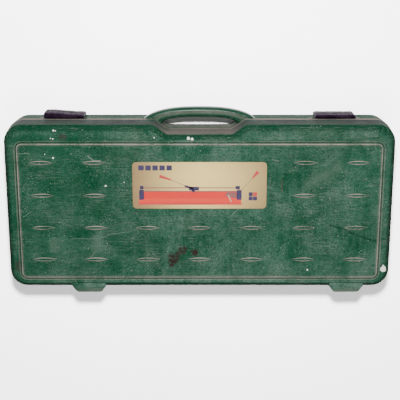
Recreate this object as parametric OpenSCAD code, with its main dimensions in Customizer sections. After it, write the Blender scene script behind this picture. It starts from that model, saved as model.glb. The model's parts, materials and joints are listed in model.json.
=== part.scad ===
// Double-walled carrying case for a long hand tool.
// It lies on its back: X is its length, +Y points to the handle and +Z to the lid.
// The origin is the centre of the flat underside that it rests on. Lengths are in mm.

/* [Case] */
// Length of the case along X, at the parting line
case_w = 872; // [820:1:920]
// Height of the case along Y, at the parting line, without handle and feet
case_d = 381; // [350:1:420]
// Depth of the base half
base_h = 75; // [65:1:90]
// Depth of the lid half, up to its border
lid_h = 59; // [50:1:75]
// Radius of the case's four corners
corner_r = 42; // [30:1:60]
// Radius of the edge between the walls and the outer faces
edge_r = 9; // [5:0.5:14]
// Draft of the base's walls, in degrees
base_draft = 1.5; // [0.5:0.1:3]
// Draft of the lid's walls, in degrees
lid_draft = 3.6; // [1:0.1:5]
// Thickness of each moulded skin
skin_t = 1.8; // [1.6:0.1:3]
// Gap between the two halves at the parting line
parting_gap = 0.3; // [0.2:0.1:0.6]

/* [Face panel] */
// Half length of the panel, to the middle of its groove
panel_x = 407; // [390:1:412]
// Panel's groove on the handle side, along Y
panel_top = 148.5; // [130:0.5:155]
// Panel's groove on the hinge side, along Y
panel_bottom = -168; // [-172:0.5:-150]
// Corner radius of the groove's middle line
panel_r = 14; // [8:1:30]
// Width of the groove
groove_w = 5.5; // [3:0.5:8]
// Depth of the groove below the border
groove_depth = 1.8; // [1:0.1:2.5]
// Height of the lid's panel above its border
panel_raise = 1; // [0.5:0.1:2]

/* [Ribs on the lid] */
// Distance between rib columns
rib_pitch_x = 117.4; // [100:0.2:120]
// Distance between rib rows
rib_pitch_y = 75.2; // [60:0.2:76]
// Y of the first row, nearest the handle
rib_first_y = 103.5; // [95:0.5:110]
// Length of one lens-shaped rib
rib_l = 53; // [30:1:70]
// Width of one rib at its middle
rib_w = 8.5; // [5:0.5:14]
// Height of a rib above the panel
rib_h = 1.8; // [1:0.1:3]

/* [Handle and hand recess] */
// Y of the recess floor
recess_floor = 168.5; // [160:0.5:175]
// Half length of the recess at its floor
recess_floor_x = 72; // [60:1:80]
// Half length of the recess at the outer wall
recess_mouth_x = 102; // [90:1:115]
// Y of the handle's crown
handle_top = 216.5; // [208:0.5:225]
// Half length of the handle at its roots
handle_root_x = 128; // [110:1:150]
// Half length of the hand hole
hole_x = 84; // [76:1:90]
// Thickness of the bar along Y, at its middle
bar_t = 22.5; // [16:0.5:24]
// Lowest Z of the handle bar
bar_z0 = 41; // [30:1:45]
// Highest Z of the handle bar
bar_z1 = 72.5; // [60:0.5:73.5]

/* [Hinges] */
// X of the left foot's middle
foot_left_x = -253.5; // [-300:0.5:-200]
// X of the right foot's middle
foot_right_x = 336; // [280:0.5:350]
// Width of a foot at the wall
foot_w = 75; // [60:1:90]
// Width of a foot at its outer face
foot_outer_w = 56; // [45:1:60]
// Y of a foot's outer face at the parting line
foot_y = -209; // [-212:0.5:-206]
// Y of the hinge axis
hinge_y = -202; // [-203:0.5:-200]
// Outer radius of a hinge knuckle
knuckle_r = 7; // [6:0.5:7.5]
// Half width of the lid's middle knuckle
mid_knuckle = 10.5; // [8:0.5:14]
// Radius of a hinge pin
hinge_pin_r = 2.5; // [2:0.1:3]

/* [Latches] */
// Distance of each latch from the middle of the case
latch_x = 305.5; // [280:0.5:320]
// Width of a latch
latch_w = 91; // [80:1:100]
// Y of a latch's outer face
latch_top = 200.5; // [198:0.5:204]
// Z of a latch's front end
latch_front = 70; // [66:0.5:72]
// Y of a latch's pivot
pivot_y = 197; // [196:0.1:198]
// Z of a latch's pivot
pivot_z = 28; // [24:0.5:34]
// Radius of a latch's pin
latch_pin_r = 1.5; // [1.2:0.1:2]

/* [Label] */
// Length of the label plate
label_w = 299; // [240:1:320]
// Height of the label plate
label_d = 107; // [80:1:110]
// Y of the label's middle
label_y = 52; // [40:1:60]
// Thickness of the label plate
label_t = 0.6; // [0.4:0.1:1]

/* [Inside] */
// Gap between the outer and the inner skin at the floor
wall_gap = 9; // [6:0.5:14]
// Y of the cavity's wall on the handle side
cavity_top = 160; // [150:1:162]
// Y of the cavity's wall on the hinge side
cavity_bottom = -172; // [-174:1:-160]
// Half length of the cavity
cavity_x = 414; // [380:1:418]
// Height of the pads that carry the tool
pad_h = 16; // [8:1:24]
// Width of each pad along X
pad_w = 52; // [30:2:80]

/* [Hidden] */
$fn = 48;

GREEN = "darkgreen";
PLUM = "#3b2d40";
STEEL = "silver";

half_x = case_w / 2;
half_y = case_d / 2;
part_z = base_h;
base_top = part_z - parting_gap / 2;
lid_bottom = part_z + parting_gap / 2;
border_z = base_h + lid_h;
panel_z = border_z + panel_raise;
past = 1;                      // how far a cut runs past the face it opens
pin_clear = 0.05;              // radial clearance of a pin in its hole
hinge_clear = 0.5;             // side gap between two knuckles
foot_notch = 9.5;              // half height of the foot's opening round the knuckles
sweep_r = 12.4;                // radius that the other half's knuckle block sweeps
foot_core_wall = 3.5;          // wall of a hollow foot
foot_root = 14;                // how far a foot's block reaches in behind the wall line
foot_flare = 2;                // where a foot's slanting sides start, behind the wall line
foot_lean = 7;                 // lean of a foot's outer face, in degrees
foot_step = 0.4;               // how far a foot stays below the case's face
knuckle_reach = foot_outer_w / 2 - 0.5; // half length of a whole hinge
web_root = -half_y + 1.3;      // Y where a knuckle's web ends, inside the wall
arch_base = half_y - 4;        // Y of the handle's arch at its roots
hole_base = half_y - 6;        // Y of the hand hole at its ends
recess_half = 50;              // half length of a latch recess in the base's rim
recess_depth = 9;              // depth of the latch recess
recess_z0 = 50;                // lowest Z of the latch recess
lug_half = 47.5;               // half length of the lid's lug under a latch
lug_z0 = 53;                   // lowest Z of the lug
lug_out = half_y - 0.6;        // outer face of the lug
lug_t = 6;                     // thickness of the lug
lug_rise = 6;                  // how far the lug reaches up into the lid
lug_slot_half = 31;            // half length of the slot that the latch's tooth faces
lug_slot_t = 3;                // depth of that slot
lug_slot_z0 = 57;              // lowest Z of that slot
lug_slot_h = 7;                // height of that slot
ear_x = 24;                    // distance of each latch ear from the latch's middle
ear_w = 4;                     // width of an ear
ear_r = 3.2;                   // radius of an ear round the pin
ear_bite = 3;                  // how far an ear reaches in behind the wall line
ear_gap = 0.5;                 // side gap between an ear and the lever
ear_slot = 4.5;                // half height of the lever's opening round an ear
latch_wall = 2.5;              // wall of the latch lever
latch_under = half_y + 0.9;    // underside of the lever's walls
latch_pin_end = 4;             // how far a latch pin stays inside the lever's ends
hollow_z0 = pivot_z + 5;       // lowest Z of the hollow under the lever
tooth_half = 28;               // half length of the lever's tooth
tooth_z0 = 58.5;               // lowest Z of the tooth
tooth_h = 4;                   // height of the tooth
pad_x = [-270, 0, 270];        // X of the pads' middles
pad_margin = 12;               // gap between a pad and the cavity's wall
pad_inner = [-92, 76];         // where the pads end along Y, leaving the bed between them
rim_gap = 0.25;                // gap between a tray's rim and the outer skin's wall
cavity_r = 28;                 // corner radius of the trays
pad_r = 8;                     // corner radius of a pad
rib_root = 0.4;                // how deep a rib and the raised panel reach into the face
label_r = 8;                   // corner radius of the label plate

function mirrored(points) = concat(
    points,
    [for (i = [len(points) - 1 : -1 : 0]) [-points[i][0], points[i][1]]]);

function hundredth(v) = round(v * 100) / 100;

// Side profile of one half: how far the wall stands in from the parting outline, and its Z.
// up is 1 for the lid and -1 for the base; thick moves every surface inwards.
// The values are rounded to 0.01 mm, so that the corners and the straight walls meet exactly.
function side_profile(z_rim, z_face, draft, up, thick) = concat(
    [[thick, z_rim]],
    [for (a = [0 : 22.5 : 90])
        [hundredth(thick + tan(draft) * (abs(z_face - part_z) - edge_r) + (edge_r - thick) * (1 - cos(a))),
         hundredth(z_face - up * (edge_r - (edge_r - thick) * sin(a)))]]);

// Solid with that profile along all four walls, and round corners.
module tub(points) {
    for (sx = [-1, 1])
        for (sy = [-1, 1])
            translate([sx * (half_x - corner_r), sy * (half_y - corner_r), 0])
                rotate_extrude() polygon(concat(
                    [[0, points[0][1]]],
                    [for (p = points) [corner_r - p[0], p[1]]],
                    [[0, points[len(points) - 1][1]]]));
    rotate([90, 0, 90]) linear_extrude(height = 2 * (half_x - corner_r), center = true)
        polygon(mirrored([for (p = points) [half_y - p[0], p[1]]]));
    rotate([90, 0, 0]) linear_extrude(height = 2 * (half_y - corner_r), center = true)
        polygon(mirrored([for (p = points) [half_x - p[0], p[1]]]));
}

module rounded_rectangle(x0, x1, y0, y1, r) {
    translate([x0 + r, y0]) square([x1 - x0 - 2 * r, y1 - y0]);
    translate([x0, y0 + r]) square([x1 - x0, y1 - y0 - 2 * r]);
    for (x = [x0 + r, x1 - r])
        for (y = [y0 + r, y1 - r])
            translate([x, y]) circle(r = r);
}

module slab(x0, x1, y0, y1, r, z0, z1) {
    translate([0, 0, z0]) linear_extrude(height = z1 - z0) rounded_rectangle(x0, x1, y0, y1, r);
}

module panel_outline(grow) {
    rounded_rectangle(-panel_x - grow, panel_x + grow,
                      panel_bottom - grow, panel_top + grow, panel_r + grow);
}

// Ring that runs round the panel, such as its groove.
module panel_ring(width, z0, z1) {
    translate([0, 0, z0]) linear_extrude(height = z1 - z0) difference() {
        panel_outline(width / 2);
        panel_outline(-width / 2);
    }
}

// Prism of the hand recess, grown by a skin's thickness for the space behind it.
module hand_recess(grow, z0, z1) {
    translate([0, 0, z0]) linear_extrude(height = z1 - z0) polygon([
        [-recess_floor_x - grow * 0.75, recess_floor - grow],
        [recess_floor_x + grow * 0.75, recess_floor - grow],
        [recess_mouth_x + grow * 1.25, half_y],
        [recess_mouth_x + grow * 1.25, half_y + 10],
        [-recess_mouth_x - grow * 1.25, half_y + 10],
        [-recess_mouth_x - grow * 1.25, half_y]]);
}

// Outline of the handle's arch, thick mm inside its surface.
function arch_y(x, crown, reach) =
    arch_base + (crown - arch_base) * pow(1 - pow(abs(x) / reach, 2.6), 0.62);

// The same for the hand hole, which is fuller at its ends.
function hole_y(x, crown, reach) =
    hole_base + (crown - hole_base) * pow(1 - pow(abs(x) / reach, 3), 0.5);

module handle_outline(thick) {
    steps = 12;
    root_y = recess_floor - skin_t - 1.3 - thick;
    outer = [for (i = [0 : steps])
        let (x = (handle_root_x - thick) * sin(-90 + 180 * i / steps))
        [x, arch_y(x, handle_top - thick, handle_root_x - thick)]];
    difference() {
        polygon(concat([[-handle_root_x + thick, root_y]], outer, [[handle_root_x - thick, root_y]]));
        hole = [for (i = [0 : steps])
            let (x = (hole_x + thick) * sin(-90 + 180 * i / steps))
            [x, hole_y(x, handle_top - bar_t + thick, hole_x + thick)]];
        polygon(concat([[-recess_floor_x - thick * 0.75, root_y - past]], hole,
                       [[recess_floor_x + thick * 0.75, root_y - past]]));
    }
}

module handle_bar(thick) {
    translate([0, 0, bar_z0 + thick])
        linear_extrude(height = bar_z1 - bar_z0 - 2 * thick) handle_outline(thick);
}

// Tapered block of one foot, between two heights, thick mm inside its surface.
module foot_block(x, z0, z1, thick) {
    translate([x, 0, z0]) linear_extrude(height = z1 - z0) polygon([
        [-foot_w / 2 + thick, -half_y + foot_root],
        [-foot_w / 2 + thick, -half_y + foot_flare],
        [-foot_outer_w / 2 + thick / 2, foot_y + thick],
        [foot_outer_w / 2 - thick / 2, foot_y + thick],
        [foot_w / 2 - thick, -half_y + foot_flare],
        [foot_w / 2 - thick, -half_y + foot_root]]);
}

// Cuts that lean a foot's outer face inwards, away from the parting line.
module foot_draft(x, up, z_face) {
    lean = abs(z_face - part_z) * tan(foot_lean);
    translate([x, 0, 0]) rotate([90, 0, 90])
        linear_extrude(height = foot_w + 2 * past, center = true) polygon([
            [foot_y - past, part_z],
            [foot_y, part_z],
            [foot_y + lean, z_face + up * past],
            [foot_y - past, z_face + up * past]]);
}

// One knuckle with the web that ties it to its own half.
module knuckle(x0, x1, up) {
    translate([x0, hinge_y, part_z]) rotate([0, 90, 0]) cylinder(r = knuckle_r, h = x1 - x0);
    web_h = foot_notch + past;
    translate([x0, hinge_y - knuckle_r, up > 0 ? part_z : part_z - web_h])
        cube([x1 - x0, web_root - hinge_y + knuckle_r, web_h]);
}

module pin_bore(x, half) {
    translate([x - half, hinge_y, part_z]) rotate([0, 90, 0])
        cylinder(r = hinge_pin_r + pin_clear, h = 2 * half);
}

// Room for the other half's knuckle and for the path of its web.
module knuckle_room(x0, x1) {
    intersection() {
        translate([x0, hinge_y, part_z]) rotate([0, 90, 0]) cylinder(r = sweep_r, h = x1 - x0);
        translate([x0 - past, foot_y - sweep_r, part_z - sweep_r - past])
            cube([x1 - x0 + 2 * past, hinge_y + 0.5 - foot_y + sweep_r, 2 * (sweep_r + past)]);
    }
}

module base_foot(x) {
    half = knuckle_reach;
    difference() {
        foot_block(x, foot_step, part_z - foot_notch, 0);
        foot_draft(x, -1, 0);
        knuckle_room(x - mid_knuckle - hinge_clear, x + mid_knuckle + hinge_clear);
        foot_block(x, foot_core_wall, part_z - foot_notch - foot_core_wall, foot_core_wall);
    }
    difference() {
        union() {
            knuckle(x - half, x - mid_knuckle - hinge_clear, -1);
            knuckle(x + mid_knuckle + hinge_clear, x + half, -1);
        }
        pin_bore(x, half + past);
    }
}

module lid_foot(x) {
    half = knuckle_reach;
    difference() {
        foot_block(x, part_z + foot_notch, border_z - foot_step, 0);
        foot_draft(x, 1, border_z);
        knuckle_room(x - half - hinge_clear, x - mid_knuckle);
        knuckle_room(x + mid_knuckle, x + half + hinge_clear);
        foot_block(x, part_z + foot_notch + foot_core_wall, border_z - foot_core_wall, foot_core_wall);
    }
    difference() {
        knuckle(x - mid_knuckle, x + mid_knuckle, 1);
        pin_bore(x, mid_knuckle + past);
    }
}

// Recess in the base's rim under a latch.
module latch_recess(x, grow) {
    translate([x - recess_half - grow, half_y - recess_depth - grow, recess_z0 - grow])
        cube([2 * (recess_half + grow), recess_depth + 10, part_z - recess_z0 + grow + past]);
}

module latch_ear(x) {
    for (side = [-1, 1])
        difference() {
            union() {
                translate([x + side * ear_x - ear_w / 2, pivot_y, pivot_z]) rotate([0, 90, 0])
                    cylinder(r = ear_r, h = ear_w);
                translate([x + side * ear_x - ear_w / 2, half_y - ear_bite, pivot_z - ear_r])
                    cube([ear_w, pivot_y - half_y + ear_bite, 2 * ear_r]);
            }
            translate([x + side * ear_x - ear_w / 2 - past, pivot_y, pivot_z]) rotate([0, 90, 0])
                cylinder(r = latch_pin_r + pin_clear, h = ear_w + 2 * past);
        }
}

module base_outer_skin() {
    color(GREEN) {
        difference() {
            union() {
                difference() {
                    tub(side_profile(base_top, 0, base_draft, -1, 0));
                    hand_recess(0, -past, part_z + past);
                    for (x = [-latch_x, latch_x]) latch_recess(x, 0);
                }
                handle_bar(0);
            }
            difference() {
                tub(side_profile(base_top + past, 0, base_draft, -1, skin_t));
                hand_recess(skin_t, -past, part_z + 2 * past);
                for (x = [-latch_x, latch_x]) latch_recess(x, skin_t);
                panel_ring(groove_w + 2 * skin_t, 0, groove_depth + skin_t);
            }
            handle_bar(skin_t);
            panel_ring(groove_w, -past, groove_depth);
        }
        for (x = [foot_left_x, foot_right_x]) base_foot(x);
        for (x = [-latch_x, latch_x]) latch_ear(x);
    }
}

// Moulded tray inside one half: its wall, its floor and the rim that meets the outer skin.
module tray(z_rim, z_floor, up) {
    far = z_floor + up * skin_t;
    low = min(z_rim, far);
    high = max(z_rim, far);
    difference() {
        slab(-cavity_x - skin_t, cavity_x + skin_t, cavity_bottom - skin_t, cavity_top + skin_t,
             cavity_r + skin_t, low, high);
        slab(-cavity_x, cavity_x, cavity_bottom, cavity_top, cavity_r,
             min(z_rim - up * past, z_floor), max(z_rim - up * past, z_floor));
    }
}

module rim(z0, z1) {
    inset = skin_t + rim_gap;
    difference() {
        slab(-half_x + inset, half_x - inset, -half_y + inset, half_y - inset,
             corner_r - inset, z0, z1);
        slab(-cavity_x - skin_t / 2, cavity_x + skin_t / 2,
             cavity_bottom - skin_t / 2, cavity_top + skin_t / 2, cavity_r + skin_t / 2,
             z0 - past, z1 + past);
        hand_recess(inset, z0 - past, z1 + past);
    }
}

// Pads on both sides of the tool's bed, thick mm inside their surface.
module pads(z0, z1, thick) {
    spans = [[cavity_bottom + pad_margin, pad_inner[0]], [pad_inner[1], cavity_top - pad_margin]];
    for (x = pad_x)
        for (span = spans)
            slab(x - pad_w / 2 + thick, x + pad_w / 2 - thick, span[0] + thick, span[1] - thick,
                 pad_r - thick, z0, z1);
}

module base_inner_skin() {
    floor_z = wall_gap + skin_t;
    color(GREEN) {
        difference() {
            union() {
                tray(base_top, floor_z, -1);
                pads(floor_z - skin_t / 2, floor_z + pad_h, 0);
            }
            pads(floor_z - skin_t - past, floor_z + pad_h - skin_t, skin_t);
        }
        difference() {
            rim(base_top - skin_t, base_top);
            for (x = [-latch_x, latch_x]) latch_recess(x, skin_t + rim_gap);
        }
    }
}

module lens_rib() {
    bow = (rib_l * rib_l / 4 + rib_w * rib_w / 4) / rib_w;
    intersection() {
        translate([0, bow - rib_w / 2]) circle(r = bow, $fn = 180);
        translate([0, rib_w / 2 - bow]) circle(r = bow, $fn = 180);
    }
}

// Rows of ribs: the label takes the place of the middle three columns in the first two rows.
module lid_ribs() {
    for (row = [0 : 3])
        for (column = [-3 : 3])
            if (row > 1 || abs(column) > 1)
                translate([column * rib_pitch_x, rib_first_y - row * rib_pitch_y, panel_z - rib_root])
                    linear_extrude(height = rib_h + rib_root) lens_rib();
}

// Lug that reaches down behind a latch, with the slot that the latch's tooth faces.
module lid_lug(x) {
    difference() {
        translate([x - lug_half, lug_out - lug_t, lug_z0])
            cube([2 * lug_half, lug_t, lid_bottom + lug_rise - lug_z0]);
        translate([x - lug_slot_half, lug_out - lug_slot_t, lug_slot_z0])
            cube([2 * lug_slot_half, lug_slot_t + past, lug_slot_h]);
    }
}

module lid_outer_skin() {
    color(GREEN) {
        difference() {
            union() {
                difference() {
                    tub(side_profile(lid_bottom, border_z, lid_draft, 1, 0));
                    hand_recess(0, part_z - past, panel_z + past);
                }
                translate([0, 0, border_z - rib_root])
                    linear_extrude(height = panel_raise + rib_root) panel_outline(0);
            }
            difference() {
                tub(side_profile(lid_bottom - past, border_z, lid_draft, 1, skin_t));
                hand_recess(skin_t, part_z - 2 * past, panel_z + past);
                panel_ring(groove_w + 2 * skin_t, border_z - groove_depth - skin_t, border_z);
            }
            panel_ring(groove_w, border_z - groove_depth, panel_z + past);
        }
        lid_ribs();
        for (x = [foot_left_x, foot_right_x]) lid_foot(x);
        for (x = [-latch_x, latch_x]) lid_lug(x);
    }
}

module lid_inner_skin() {
    floor_z = border_z - wall_gap - skin_t;
    color(GREEN) {
        difference() {
            union() {
                tray(lid_bottom, floor_z, 1);
                pads(floor_z - pad_h, floor_z + skin_t / 2, 0);
            }
            pads(floor_z - pad_h + skin_t, floor_z + skin_t + past, skin_t);
        }
        difference() {
            rim(lid_bottom, lid_bottom + skin_t);
            for (x = [-latch_x, latch_x])
                translate([x - lug_half - rim_gap, lug_out - lug_t - rim_gap, part_z - past])
                    cube([2 * (lug_half + rim_gap), 2 * lug_t, lug_rise + 2 * past]);
        }
    }
}

module label_plate() {
    color("wheat")
        slab(-label_w / 2, label_w / 2, label_y - label_d / 2, label_y + label_d / 2, label_r,
             panel_z, panel_z + label_t);
}

module hinge_pin(x) {
    half = knuckle_reach - 0.5;
    color(STEEL) translate([x - half, hinge_y, part_z]) rotate([0, 90, 0])
        cylinder(r = hinge_pin_r, h = 2 * half);
}

module latch_pin(x) {
    half = latch_w / 2 - latch_pin_end;
    color(STEEL) translate([x - half, pivot_y, pivot_z]) rotate([0, 90, 0])
        cylinder(r = latch_pin_r, h = 2 * half);
}

module latch_lever(x) {
    color(PLUM) difference() {
        union() {
            translate([x, 0, 0]) rotate([90, 0, 90])
                linear_extrude(height = latch_w, center = true) polygon([
                    [latch_under, latch_front],
                    [latch_top - 2, latch_front],
                    [latch_top, latch_front - 3],
                    [latch_top, pivot_z],
                    [pivot_y - 4, pivot_z],
                    [latch_under, pivot_z + 4]]);
            translate([x - latch_w / 2, pivot_y, pivot_z]) rotate([0, 90, 0])
                cylinder(r = latch_top - pivot_y, h = latch_w);
        }
        difference() {
            translate([x - latch_w / 2 + latch_wall, latch_under - past, hollow_z0])
                cube([latch_w - 2 * latch_wall, latch_top - latch_wall - latch_under + past,
                      latch_front - latch_wall - hollow_z0]);
            translate([x - tooth_half, latch_under - past, tooth_z0])
                cube([2 * tooth_half, latch_top - latch_under, tooth_h]);
        }
        for (side = [-1, 1])
            translate([x + side * ear_x - ear_w / 2 - ear_gap, pivot_y - 2 * ear_slot, pivot_z - ear_slot])
                cube([ear_w + 2 * ear_gap, 4 * ear_slot, 2 * ear_slot]);
        translate([x - latch_w / 2 - past, pivot_y, pivot_z]) rotate([0, 90, 0])
            cylinder(r = latch_pin_r + pin_clear, h = latch_w + 2 * past);
    }
}

module hinge_pin_left() { hinge_pin(foot_left_x); }
module hinge_pin_right() { hinge_pin(foot_right_x); }
module latch_lever_left() { latch_lever(-latch_x); }
module latch_lever_right() { latch_lever(latch_x); }
module latch_pin_left() { latch_pin(-latch_x); }
module latch_pin_right() { latch_pin(latch_x); }

base_outer_skin();
base_inner_skin();
lid_outer_skin();
lid_inner_skin();
label_plate();
hinge_pin_left();
hinge_pin_right();
latch_lever_left();
latch_lever_right();
latch_pin_left();
latch_pin_right();
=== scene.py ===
"""Visual model of a worn, green, double-walled carrying case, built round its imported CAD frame.

Lengths in this script are in millimetres unless a name says otherwise; mesh() turns them into metres.
The case lies on its back: X is its length, +Y points to the handle and +Z to the lid.
"""
import json
import math

import bpy
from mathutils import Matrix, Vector, noise


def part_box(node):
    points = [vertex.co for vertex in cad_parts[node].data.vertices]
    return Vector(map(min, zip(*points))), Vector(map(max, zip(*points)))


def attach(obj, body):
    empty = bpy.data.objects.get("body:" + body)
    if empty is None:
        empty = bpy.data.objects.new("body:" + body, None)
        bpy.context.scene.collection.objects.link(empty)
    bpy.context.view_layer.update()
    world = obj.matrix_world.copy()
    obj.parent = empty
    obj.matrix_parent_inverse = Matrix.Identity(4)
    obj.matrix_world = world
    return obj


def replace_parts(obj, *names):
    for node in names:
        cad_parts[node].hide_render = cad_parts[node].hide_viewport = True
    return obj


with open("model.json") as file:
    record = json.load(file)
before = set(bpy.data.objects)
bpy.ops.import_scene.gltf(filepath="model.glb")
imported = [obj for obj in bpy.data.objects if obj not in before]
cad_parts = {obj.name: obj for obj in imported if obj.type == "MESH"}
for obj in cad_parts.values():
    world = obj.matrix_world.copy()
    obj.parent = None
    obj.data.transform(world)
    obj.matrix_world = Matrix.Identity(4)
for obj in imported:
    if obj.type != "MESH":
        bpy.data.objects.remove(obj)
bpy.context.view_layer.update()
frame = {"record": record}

MM = 0.001


def cad_box(node):
    """A CAD node's lowest and highest corner, in millimetres."""
    low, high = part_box(node)
    return [c / MM for c in low], [c / MM for c in high]


# ---------------------------------------------------------------- sizes taken from the frame
BASE_HIGH = cad_box("base_outer_skin")[1]
TRAY_HIGH = cad_box("base_inner_skin")[1]
LABEL_LOW, LABEL_HIGH = cad_box("label_plate")
JOINT_PLACES = {j["name"]: [c / MM for c in j["pos_m"]] for j in frame["record"]["behaviour"]["joints"]}
HINGE_Y, PART_Z = JOINT_PLACES["lid_hinge"][1:]
LATCH_PIVOT_Y, LATCH_PIVOT_Z = JOINT_PLACES["latch_left_pivot"][1:]

SKIN = 1.8
RIM_GAP = 0.25
PART_GAP = 0.3
HALF_X = BASE_HIGH[0]
HALF_Y = TRAY_HIGH[1] + SKIN + RIM_GAP
PANEL_Z = LABEL_LOW[2]
BORDER_Z = PANEL_Z - 1.0
HANDLE_TOP = BASE_HIGH[1]
CORNER_R = 42.0
EDGE_R = 9.0
EDGE_STEPS = 6
LID_DRAFT = math.tan(math.radians(3.6))
BASE_DRAFT = math.tan(math.radians(1.5))

# hand recess in the handle side
RECESS_FLOOR = 168.5
RECESS_FLOOR_X = 72.0
RECESS_MOUTH_X = 102.0

# groove that frames the panel
PANEL_X = 407.0
PANEL_TOP = 148.5
PANEL_BOTTOM = -168.0
PANEL_R = 14.0
GROOVE_W = 5.5
GROOVE_DEPTH = 1.8

# lens-shaped ribs
RIB_PITCH = (117.4, 75.2)
RIB_FIRST_Y = 103.5
RIB_SIZE = (56.0, 9.6, 1.7)

FEET_X = [(cad_box(n)[0][0] + cad_box(n)[1][0]) / 2 for n in ("hinge_pin_left", "hinge_pin_right")]
LATCHES_X = [(cad_box(n)[0][0] + cad_box(n)[1][0]) / 2 for n in ("latch_lever_left", "latch_lever_right")]
LATCH_LOW, LATCH_HIGH = cad_box("latch_lever_right")
LATCH_HALF = (LATCH_HIGH[0] - LATCH_LOW[0]) / 2


# ---------------------------------------------------------------- mesh helpers
def mesh(name, shape, body, material, smooth=True):
    """A piece in the shared frame, from a shape in millimetres."""
    data = bpy.data.meshes.new(name)
    data.from_pydata([(x * MM, y * MM, z * MM) for x, y, z in shape.verts], [], shape.faces)
    data.validate()
    data.update()
    piece = bpy.data.objects.new(name, data)
    bpy.context.scene.collection.objects.link(piece)
    for key, values in shape.values.items():
        layer = data.attributes.new(key, "FLOAT", "POINT")
        layer.data.foreach_set("value", values)
    if smooth:
        data.polygons.foreach_set("use_smooth", [True] * len(data.polygons))
    data.materials.append(material)
    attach(piece, body)
    return piece


class Shape:
    """Collects vertices, faces and the values for wear, scuffs, dust and painted light and shade of one piece.
    """

    def __init__(self):
        self.verts, self.faces = [], []
        self.values = {"wear": [], "scuff": [], "dirt": [], "clean": []}

    def add(self, point, **marks):
        self.verts.append(tuple(point))
        for key, values in self.values.items():
            values.append(marks.get(key, 0.0))
        return len(self.verts) - 1

    def loop(self, points, **marks):
        return [self.add(p, **marks) for p in points]

    def bridge(self, a, b, flip=False):
        """Walls between two loops; they face outward when the loops rise from a to b."""
        for i in range(len(a)):
            j = (i + 1) % len(a)
            face = (a[i], a[j], b[j], b[i])
            self.faces.append(face[::-1] if flip else face)

    def cap(self, loop, flip=False):
        self.faces.append(tuple(loop[::-1] if flip else loop))

    def stack(self, loops, flip=False):
        """Closed body from a row of loops, with a cap at each end."""
        self.cap(loops[0], not flip)
        for a, b in zip(loops, loops[1:]):
            self.bridge(a, b, flip)
        self.cap(loops[-1], flip)


def smoothstep(t):
    t = min(max(t, 0.0), 1.0)
    return t * t * (3 - 2 * t)


# ---------------------------------------------------------------- outline of the case
def recess_depth(x, inset):
    """How far the handle side stands back at x because of the hand recess."""
    grow = 0.4 * inset
    start = RECESS_MOUTH_X + grow + 3
    end = RECESS_FLOOR_X + grow - 3
    t = min(max((start - abs(x)) / (start - end), 0.0), 1.0)
    bent = 0.55 * smoothstep(t) + 0.45 * t
    return (HALF_Y - RECESS_FLOOR) * bent


# stations along the sides, for a case of the CAD's size; outline() stretches them to each loop
LATCH_RECESS = {"half": 50.0, "depth": 9.0, "low_z": 50.0}
RECESS_EDGES = [abs(x) + side * LATCH_RECESS["half"] + step
                for x in LATCHES_X[1:] for side in (-1, 1) for step in (-0.6, 0.6)]
HANDLE_SIDE_X = [130 + i * 12.35 for i in range(21)]
HAND_RECESS_X = [15.0, 30.0, 44.0] + [56 + i * 4.0 for i in range(17)]
TOP_STATIONS = sorted([x for x in HANDLE_SIDE_X if min(abs(x - edge) for edge in RECESS_EDGES) > 2]
                      + RECESS_EDGES + HAND_RECESS_X, reverse=True)
TOP_X = TOP_STATIONS + [0.0] + [-x for x in reversed(TOP_STATIONS)]
BOTTOM_X = [-377 + i * 13.0 for i in range(59)]
SIDE_Y = [-138 + i * 12.0 for i in range(24)]
STRAIGHT_X, STRAIGHT_Y = HALF_X - CORNER_R, HALF_Y - CORNER_R
STRETCH_FROM_X = 360.0
ARC_STEPS = 12


def latch_recess(x):
    """1 where the base's rim is cut away under a latch."""
    return 1.0 if any(abs(x - middle) < LATCH_RECESS["half"] for middle in LATCHES_X) else 0.0


def outline(inset, with_recess=True, corner=CORNER_R, box=None, latch_depth=0.0):
    """Closed loop round the case, counter-clockwise from above, inset inside the parting outline."""
    x1, y0, y1 = box or (HALF_X, -HALF_Y, HALF_Y)
    x1, y0, y1 = x1 - inset, y0 + inset, y1 - inset
    r = max(corner - inset, 5.0)
    straight = x1 - r

    def corner_points(cx, cy, start):
        for i in range(ARC_STEPS + 1):
            a = math.radians(start + 90 * i / ARC_STEPS)
            yield [cx + r * math.cos(a), cy + r * math.sin(a)]

    def side_y(y):
        return y0 + r + (y1 - y0 - 2 * r) * (y + STRAIGHT_Y) / (2 * STRAIGHT_Y)

    points = [[x * straight / STRAIGHT_X, y0] for x in BOTTOM_X]
    points += corner_points(x1 - r, y0 + r, -90)
    points += [[x1, side_y(y)] for y in SIDE_Y]
    points += corner_points(x1 - r, y1 - r, 0)
    for x in TOP_X:
        outer = max(abs(x) - STRETCH_FROM_X, 0.0) / (STRAIGHT_X - STRETCH_FROM_X)
        px = math.copysign(min(abs(x), STRETCH_FROM_X) + outer * (straight - STRETCH_FROM_X), x)
        back = recess_depth(px, inset) if with_recess else 0.0
        points.append([px, y1 - back - latch_depth * latch_recess(px)])
    points += corner_points(-x1 + r, y1 - r, 90)
    points += [[-x1, side_y(y)] for y in reversed(SIDE_Y)]
    points += corner_points(-x1 + r, y0 + r, 180)
    return points


def lift(points, z):
    return [(x, y, z) for x, y in points]


def blend_loops(a, b, t):
    return [[p[0] + (q[0] - p[0]) * t, p[1] + (q[1] - p[1]) * t] for p, q in zip(a, b)]


def panel_loop(grow):
    return outline(0, with_recess=False, corner=PANEL_R + grow,
                   box=(PANEL_X + grow, PANEL_BOTTOM - grow, PANEL_TOP + grow))


def panel_wave(x, y):
    """Slow unevenness of a blow-moulded face, up to half a millimetre."""
    return 0.5 * noise.noise(Vector((x / 170.0, y / 130.0, 4.0)))


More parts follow.
